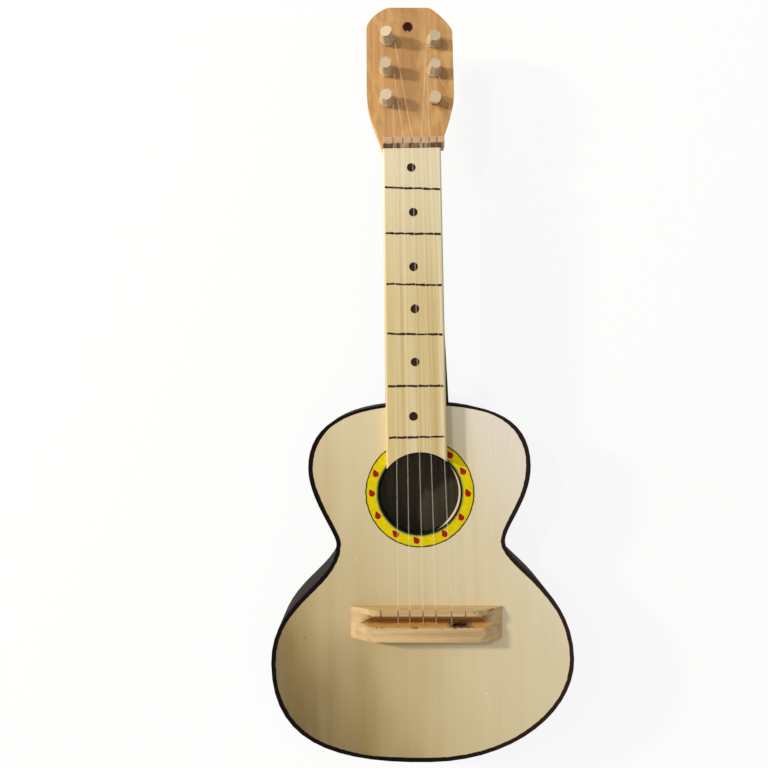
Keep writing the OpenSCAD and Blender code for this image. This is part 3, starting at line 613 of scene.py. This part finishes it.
    # painted shade that spreads from the pocket on to the valley's floor
    from_lost = add(tree, "Math", {0: along, 1: LOST_X - 4}, operation="SUBTRACT")
    from_lost = add(tree, "Math", {0: from_lost}, operation="ABSOLUTE")
    pocket_shade_spread = add(tree, "Math", {0: smear, 1: 6, 2: from_lost}, operation="MULTIPLY_ADD")
    pocket_shade_spread = add(tree, "MapRange", {0: pocket_shade_spread, 1: 14, 2: 9, 3: 0, 4: 0.75})
    floor = add(tree, "MapRange", {0: up, 1: 2.8, 2: 1.8})
    pocket_shade_spread = add(tree, "Math", {0: pocket_shade_spread, 1: floor}, operation="MULTIPLY")
    pocket_shade_spread = add(tree, "Math", {0: pocket_shade_spread, 1: valley}, operation="MULTIPLY")
    recess_shade = add(tree, "Math", {0: recess_shade, 1: pocket_shade_spread}, operation="MAXIMUM")
    colour = add(tree, "Mix", {0: recess_shade, 6: colour, 7: "#2e1710"}, out=2, data_type="RGBA")
    close_material(tree, fibres, 0.1, Base_Color=colour, Roughness=0.58, Specular_IOR_Level=0.25)
    return material


def torn_wood():
    """Torn cedar fibres: a few fresh and pale, most dark where glue and grime have settled."""
    material, tree, place, _ = new_material("torn_cedar_fibres")
    stretched = add(tree, "Mapping", {0: place, "Scale": grains(6, 0.4, 0.4)})
    fibres = add(tree, "TexNoise", {"Vector": stretched, "Scale": 1, "Detail": 3})
    colour = add(tree, "ValToRGB", {0: fibres}, stops=[(0.3, "#2a1710"), (0.5, "#5a3a1e"), (0.75, "#a77c46")])
    close_material(tree, fibres, 0.15, Base_Color=colour, Roughness=0.8)
    return material


def whittled_limewood():
    """Limewood, whittled: pale creamy wood with fine upright fibres; the faces that look up, the sawn tops,
    are painted paler and greyer as painted light.
    """
    material, tree, place, _ = new_material("whittled_limewood")
    stretched = add(tree, "Mapping", {0: place, "Scale": grains(0.9, 0.9, 9)})
    fibres = add(tree, "TexNoise", {"Vector": stretched, "Scale": 1, "Detail": 3})
    clouds = add(tree, "TexNoise", {"Vector": place, "Scale": 0.2, "Detail": 2})
    wood = add(tree, "ValToRGB", {0: fibres}, stops=[(0.3, "#b39b70"), (0.5, "#c6b085"), (0.72, "#d6c49e")])
    dull = add(tree, "MapRange", {0: clouds, 1: 0.45, 2: 0.75, 3: 0, 4: 0.45})
    wood = add(tree, "Mix", {0: dull, 6: wood, 7: "#b3966c"}, out=2, data_type="RGBA")
    # painted light: faces that look up are paler and greyer
    facing = add(tree, "TexCoord", out="Normal")
    upward = add(tree, "VectorMath", {0: facing, 1: (0, 0, 1)}, out="Value", operation="DOT_PRODUCT")
    painted_top_light = add(tree, "MapRange", {0: upward, 1: 0.75, 2: 0.92, 3: 0, 4: 0.65})
    colour = add(tree, "Mix", {0: painted_top_light, 6: wood, 7: "#d0bea6"}, out=2, data_type="RGBA")
    close_material(tree, fibres, 0.1, Base_Color=colour, Roughness=0.6)
    return material


def bare_pine_inside():
    """Bare sawn pine of the blocks and braces, dark brown."""
    material, tree, place, _ = new_material("bare_dark_pine")
    stretched = add(tree, "Mapping", {0: place, "Scale": grains(16, 2, 2)})
    fibres = add(tree, "TexNoise", {"Vector": stretched, "Scale": 1, "Detail": 3})
    colour = add(tree, "ValToRGB", {0: fibres}, stops=[
        (0.3, "#7d6645"), (0.55, "#967b55"), (0.75, "#a98d66")])
    close_material(tree, fibres, 0.15, Base_Color=colour, Roughness=0.85)
    return material


def drawn_nylon():
    """Drawn nylon line, thin and mostly see-through: it shows over the dark hole and is lost on pale wood."""
    material, tree, place, _ = new_material("clear_drawn_nylon")
    cloudy = add(tree, "TexNoise", {"Vector": place, "Scale": 0.3, "Detail": 2})
    tint = add(tree, "ValToRGB", {0: cloudy}, stops=[(0.3, "#dcd5c3"), (0.7, "#ebe6da")])
    close_material(tree, cloudy, 0.01, Base_Color=tint, Roughness=0.5, Specular_IOR_Level=0.15, Alpha=0.17)
    return material


def poster_red():
    """Thick red poster paint, dabbed on with the tip of a brush."""
    material, tree, place, _ = new_material("dabbed_red_poster_paint")
    dabs = add(tree, "TexNoise", {"Vector": place, "Scale": 0.6, "Detail": 3})
    colour = add(tree, "ValToRGB", {0: dabs}, stops=[(0.3, "#86100a"), (0.6, "#a3190c"), (0.8, "#b5260f")])
    close_material(tree, dabs, 0.1, Base_Color=colour, Roughness=0.6, Specular_IOR_Level=0.1)
    return material


# ---------------------------------------------------------------- pieces

def edge_distance(piece, outline, limit):
    """Writes how far each point lies in from the outline, in millimetres, up to a limit."""
    rim = piece.data.attributes.new("from_edge", "FLOAT", "POINT")
    sides = list(zip(outline, outline[1:] + outline[:1]))
    for vertex, value in zip(piece.data.vertices, rim.data):
        point = Vector(vertex.co.xy)
        nearest = limit * MM
        for start, end in sides:
            side = end - start
            share = min(max((point - start).dot(side) / side.length_squared, 0), 1)
            nearest = min(nearest, (point - start - share * side).length)
        value.value = nearest * TO_MM


def outer_outline(piece):
    """The outer edge of the soundboard's top, as points in order."""
    shape = bmesh.new()
    shape.from_mesh(piece.data)
    links = {}
    for edge in shape.edges:
        a, b = edge.verts
        level = abs(a.co.z - BOARD_TOP) < HAIR and abs(b.co.z - BOARD_TOP) < HAIR
        upright = any(abs(face.normal.z) < 0.1 for face in edge.link_faces)
        outside = (a.co.xy - Vector((0, HOLE_Y))).length > HOLE_R * 1.2
        if level and upright and outside:
            links.setdefault(a.index, []).append(b.index)
            links.setdefault(b.index, []).append(a.index)
    places = {vertex.index: Vector(vertex.co.xy) for vertex in shape.verts}
    shape.free()
    start = min(links)
    order = [start, links[start][0]]
    while True:
        onward = [i for i in links[order[-1]] if i != order[-2]][0]
        if onward == start:
            return [places[i] for i in order]
        order.append(onward)


def set_in(outline, distance):
    """The points of a closed outline, each moved inwards by a distance."""
    centre = sum(outline, Vector((0, 0))) / len(outline)
    turns = sum((a - centre).cross(b - centre) for a, b in zip(outline, outline[1:] + outline[:1]))
    inward = 1 if turns > 0 else -1
    moved = []
    for before, point, after in zip(outline[-1:] + outline[:-1], outline, outline[1:] + outline[:1]):
        along = (after - before).normalized()
        moved.append(point + distance * inward * Vector((-along.y, along.x)))
    return moved


def points_on(outline):
    """A test for whether a point is one of an outline's and lies on the soundboard's top."""
    near = {(round(p.x / HAIR), round(p.y / HAIR)) for p in outline}
    return lambda p: (round(p.x / HAIR), round(p.y / HAIR)) in near and p.z > BOARD_TOP - HAIR


# How far in from the soundboard's edge its top is divided, in millimetres
RIM_RINGS = [0.8, 1.6, 2.4, 3.2, 4.0, 5.0, 7.0]


def make_soundboard(material):
    """The soundboard, with its top divided into narrow rings along the edge for the painted rim."""
    piece = welded_copy("soundboard", "soundboard_veneered")
    outline = outer_outline(piece)
    only(piece)
    bpy.ops.object.mode_set(mode="EDIT")
    select_faces(piece, lambda centre, normal: normal.z > 0.99)
    bpy.ops.mesh.delete(type="ONLY_FACE")
    loops = [outline] + [set_in(outline, ring * MM) for ring in RIM_RINGS]
    for here, further in zip(loops, loops[1:]):
        on_it = points_on(here)
        select_edges(piece, lambda a, b: on_it(a) and on_it(b))
        bpy.ops.mesh.extrude_edges_move()
        shape = bmesh.from_edit_mesh(piece.data)
        for vertex in shape.verts:
            if vertex.select:
                nearest = min(range(len(here)), key=lambda i: (here[i] - vertex.co.xy).length)
                vertex.co.xy = further[nearest]
        bmesh.update_edit_mesh(piece.data)
    innermost = points_on(loops[-1])

    def open_rim(a, b):
        """Whether an edge borders the gap that is left between the innermost ring and the sound hole."""
        level = min(a.z, b.z) > BOARD_TOP - HAIR
        reach = max((p.xy - Vector((0, HOLE_Y))).length for p in (a, b))
        return level and (innermost(a) and innermost(b) or reach < HOLE_R + 0.5 * MM)

    select_edges(piece, open_rim)
    bpy.ops.mesh.fill(use_beauty=True)
    bpy.ops.mesh.select_all(action="SELECT")
    bpy.ops.mesh.normals_make_consistent(inside=False)
    bpy.ops.object.mode_set(mode="OBJECT")
    ease_edges(piece, 0.5)
    edge_distance(piece, outline, RIM_RINGS[-1])
    return finish_piece(piece, "guitar", material, smooth=30)


def make_fretboard(material):
    """The fretboard, with its two long edges planed round."""
    piece = welded_copy("fretboard", "fretboard_sanded")
    bpy.ops.object.mode_set(mode="EDIT")
    top = FRET_HIGH.z - HAIR
    select_edges(piece, lambda a, b: min(a.z, b.z) > top and abs(a.y - b.y) > 150 * MM)
    bpy.ops.mesh.bevel(offset=1.7 * MM, segments=5, affect="EDGES")
    bpy.ops.object.mode_set(mode="OBJECT")
    ease_edges(piece, 0.25)
    return finish_piece(piece, "guitar", material)


def make_eased(node, name, width, material):
    """A wooden piece with its edges eased by sandpaper."""
    piece = welded_copy(node, name)
    ease_edges(piece, width)
    return finish_piece(piece, "guitar", material)


def make_drops(material):
    """The ten red drops on the painted ring, each a low dab with its tip up and to the left."""
    rng = random.Random(4)
    radius = DROP_R * MM
    lean = math.radians(118)
    dabs = []
    for angle in DROPS:
        x = DROP_CIRCLE * math.cos(math.radians(angle)) * MM
        y = HOLE_Y + DROP_CIRCLE * math.sin(math.radians(angle)) * MM
        bpy.ops.mesh.primitive_circle_add(vertices=32, radius=radius, fill_type="NGON",
                                          location=(x, y, BOARD_TOP + HAIR))
        dab = bpy.context.object
        turn = lean + rng.uniform(-0.15, 0.15)
        tip = rng.uniform(1.55, 1.85)
        for vertex in dab.data.vertices:
            along = vertex.co.x * math.cos(turn) + vertex.co.y * math.sin(turn)
            side = -vertex.co.x * math.sin(turn) + vertex.co.y * math.cos(turn)
            if along > 0:
                side *= max(1 - along / radius, 0) ** 0.45
                along *= tip
            vertex.co.x = along * math.cos(turn) - side * math.sin(turn)
            vertex.co.y = along * math.sin(turn) + side * math.cos(turn)
        only(dab)
        bpy.ops.object.mode_set(mode="EDIT")
        bpy.ops.mesh.select_all(action="SELECT")
        bpy.ops.mesh.extrude_region_move(TRANSFORM_OT_translate={"value": (0, 0, 0.12 * MM)})
        bpy.ops.mesh.inset(thickness=0.3 * MM)
        bpy.ops.transform.translate(value=(0, 0, 0.08 * MM))
        bpy.ops.object.mode_set(mode="OBJECT")
        settle(dab)
        dabs.append(dab)
    return finish_piece(join(dabs, "red_drops"), "guitar", material, smooth=60)


def make_peg(joint, material, seed):
    """One whittled peg: a round shank in its hole and a grip that a knife has cut to uneven flats."""
    rng = random.Random(seed)
    node = joint["child"]
    base = Vector(joint["pos_m"])
    axis = Vector(joint["axis"]).normalized()
    outward = [vertex.co - base for vertex in frame["nodes"][node].data.vertices]
    heights = [point.dot(axis) for point in outward]
    low, high = min(heights), max(heights)
    foot = 1 * MM
    shank_r = max((p - h * axis).length for p, h in zip(outward, heights) if h < foot)
    grip_start = 4.8 * MM

    bpy.ops.mesh.primitive_cylinder_add(vertices=48, radius=shank_r, depth=high - low,
                                        location=(0, 0, (low + high) / 2))
    piece = bpy.context.object
    piece.name = node + "_whittled"
    settle(piece)
    bpy.ops.object.mode_set(mode="EDIT")
    # the knife runs up and slightly in, and leaves an uneven flat at each pass
    passes = 7
    for number in range(passes):
        angle = 2 * math.pi * (number + rng.uniform(-0.22, 0.22)) / passes
        out = Vector((math.cos(angle), math.sin(angle), 0))
        start = out * (shank_r - rng.uniform(0.05, 0.5) * MM) + Vector((0, 0, grip_start))
        slope = (out + Vector((0, 0, rng.uniform(0, 0.02)))).normalized()
        bpy.ops.mesh.select_all(action="SELECT")
        bpy.ops.mesh.bisect(plane_co=start, plane_no=slope, use_fill=True, clear_outer=True)
    # its top was sawn off not quite square
    sawn = Vector((rng.uniform(-0.14, 0.14), rng.uniform(-0.14, 0.14), 1)).normalized()
    bpy.ops.mesh.select_all(action="SELECT")
    bpy.ops.mesh.bisect(plane_co=(0, 0, high - 0.6 * MM), plane_no=sawn, use_fill=True, clear_outer=True)
    bpy.ops.mesh.select_all(action="SELECT")
    bpy.ops.mesh.normals_make_consistent(inside=False)
    bpy.ops.object.mode_set(mode="OBJECT")
    ease_edges(piece, 0.35, angle=22)
    piece.matrix_world = Matrix.Translation(base) @ axis.to_track_quat("Z", "Y").to_matrix().to_4x4()
    settle(piece)
    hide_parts(node)
    return finish_piece(piece, node, material, smooth=25)


def make_splinters(material):
    """Torn fibres that stand in the mouth of the pocket where the sixth string broke out."""
    rng = random.Random(11)
    splinters = []
    count = 16
    bends = 4
    pocket_start, pocket_w = LOST_X - 12, 15
    for number in range(count):
        along = pocket_start + pocket_w * number / (count - 1) + rng.uniform(-0.6, 0.6)
        x = (BRIDGE_X + along) * MM
        # every other one stands on the pocket's far edge, in the valley
        out = rng.uniform(0.3, 0.8) if number % 2 else rng.uniform(1.9, 2.6)
        y = (SLOPE_Y - along * BRIDGE_SLANT + out) * MM
        z = BOARD_TOP + (rng.uniform(7.6, 9) if number % 2 else rng.uniform(4.9, 5.4)) * MM
        bpy.ops.mesh.primitive_cube_add(size=rng.uniform(0.35, 0.6) * MM, location=(x, y, z))
        splinter = bpy.context.object
        settle(splinter)
        way = rng.choice((-1, 1))
        bpy.ops.object.mode_set(mode="EDIT")
        for _ in range(bends):
            furthest = max(way * vertex.co.x for vertex in bmesh.from_edit_mesh(splinter.data).verts)
            select_faces(splinter, lambda c, n: way * c.x > furthest - 0.05 * MM and way * n.x > 0.5)
            step = [way * rng.uniform(0.5, 1.1) * MM, rng.uniform(-0.2, 0.15) * MM,
                    rng.uniform(-0.1, 0.2) * MM]
            bpy.ops.mesh.extrude_region_move(TRANSFORM_OT_translate={"value": step})
            bpy.ops.transform.resize(value=(1, 0.62, 0.62))
        bpy.ops.object.mode_set(mode="OBJECT")
        splinters.append(splinter)
    return finish_piece(join(splinters, "torn_fibres"), "guitar", material)


# ---------------------------------------------------------------- build

POPLAR = sealed_poplar()
ENAMEL = brushed_enamel()
LIMEWOOD = whittled_limewood()
INSIDE = bare_pine_inside()
NYLON = drawn_nylon()

make_soundboard(POPLAR)
make_fretboard(inked_pine())
make_eased("neck", "neck_and_head", 0.9, painted_cedar())
make_eased("nut", "nut_sanded", 0.35, inked_nut_wood())
make_eased("bridge", "bridge_sawn", 0.3, sawn_bridge_wood())
for side_name in ("side_left", "side_right", "back_board"):
    make_eased(side_name, side_name + "_enamelled", 0.5, ENAMEL)
make_drops(poster_red())
make_splinters(torn_wood())
for number, joint in enumerate(frame["joints"]):
    make_peg(joint, LIMEWOOD, seed=21 + number)
for block in ("neck_block", "tail_block", "top_brace_upper", "top_brace_lower",
              "back_brace_upper", "back_brace_lower"):
    wear_material(block, INSIDE)
for number in range(1, 6):
    wear_material(f"string_{number}", NYLON)
    wear_material(f"turns_{number}", NYLON)


# ---------------------------------------------------------------- stage

def seen_directly(tree):
    """1 where the camera looks at a surface, or sees it in something shiny or clear."""
    path = add(tree, "LightPath").node.outputs
    seen = add(tree, "Math", {0: path["Is Camera Ray"], 1: path["Is Glossy Ray"]}, operation="MAXIMUM")
    return add(tree, "Math", {0: seen, 1: path["Is Transmission Ray"]}, operation="MAXIMUM")


def make_stage():
    """A pale floor, which glows white to the eye and still keeps some of the shadow, and a soft even room."""
    bpy.ops.mesh.primitive_plane_add(size=6, location=(0, 0, -0.1 * MM))
    floor = bpy.context.object
    floor.name = "floor"
    material = bpy.data.materials.new("pale_floor")
    material.use_nodes = True
    tree = material.node_tree
    tree.nodes.clear()
    paper = add(tree, "BsdfPrincipled", {"Base Color": "#f4f4f2", "Roughness": 0.9})
    white = add(tree, "Emission", {"Color": "#ffffff", "Strength": 1})
    glow = 0.88
    share = add(tree, "Math", {0: seen_directly(tree), 1: glow}, operation="MULTIPLY")
    mixed = add(tree, "MixShader", {0: share, 1: paper, 2: white})
    add(tree, "OutputMaterial", {"Surface": mixed})
    floor.data.materials.append(material)

    world = bpy.data.worlds.new("soft_room")
    world.use_nodes = True
    tree = world.node_tree
    tree.nodes.clear()
    light = add(tree, "Background", {"Color": "#f7f6f4", "Strength": 0.5})
    backdrop = add(tree, "Background", {"Color": "#ffffff", "Strength": 1})
    mixed = add(tree, "MixShader", {0: seen_directly(tree), 1: light, 2: backdrop})
    add(tree, "OutputWorld", {"Surface": mixed})
    bpy.context.scene.world = world


def add_lamp(name, place, size, power, tint):
    """A round soft lamp that shines at the middle of the guitar."""
    bpy.ops.object.light_add(type="AREA", location=place)
    lamp = bpy.context.object
    lamp.name = name
    lamp.data.shape = "DISK"
    lamp.data.size = size
    lamp.data.energy = power
    lamp.data.color = srgb(tint)[:3]
    lamp.rotation_euler = (-Vector(place)).to_track_quat("-Z", "Y").to_euler()


def add_camera():
    """Looks straight down from half a metre above the soundboard, turned so that the head leans left."""
    data = bpy.data.cameras.new("camera")
    data.lens = 29.51
    data.sensor_width = 36
    camera = bpy.data.objects.new("camera", data)
    camera.location = (-27.1 * MM, 1.2 * MM, BOARD_TOP + 0.5)
    camera.rotation_euler = (0, 0, -math.radians(0.95))
    bpy.context.scene.collection.objects.link(camera)
    bpy.context.scene.camera = camera


make_stage()
add_lamp("window", (-2.9, 0.95, 1.38), 0.28, 97, "#fffaf3")
add_lamp("ceiling", (-1.45, 0.95, 2.0), 0.15, 16, "#fffaf3")
add_camera()

bpy.context.scene.view_settings.view_transform = "Standard"
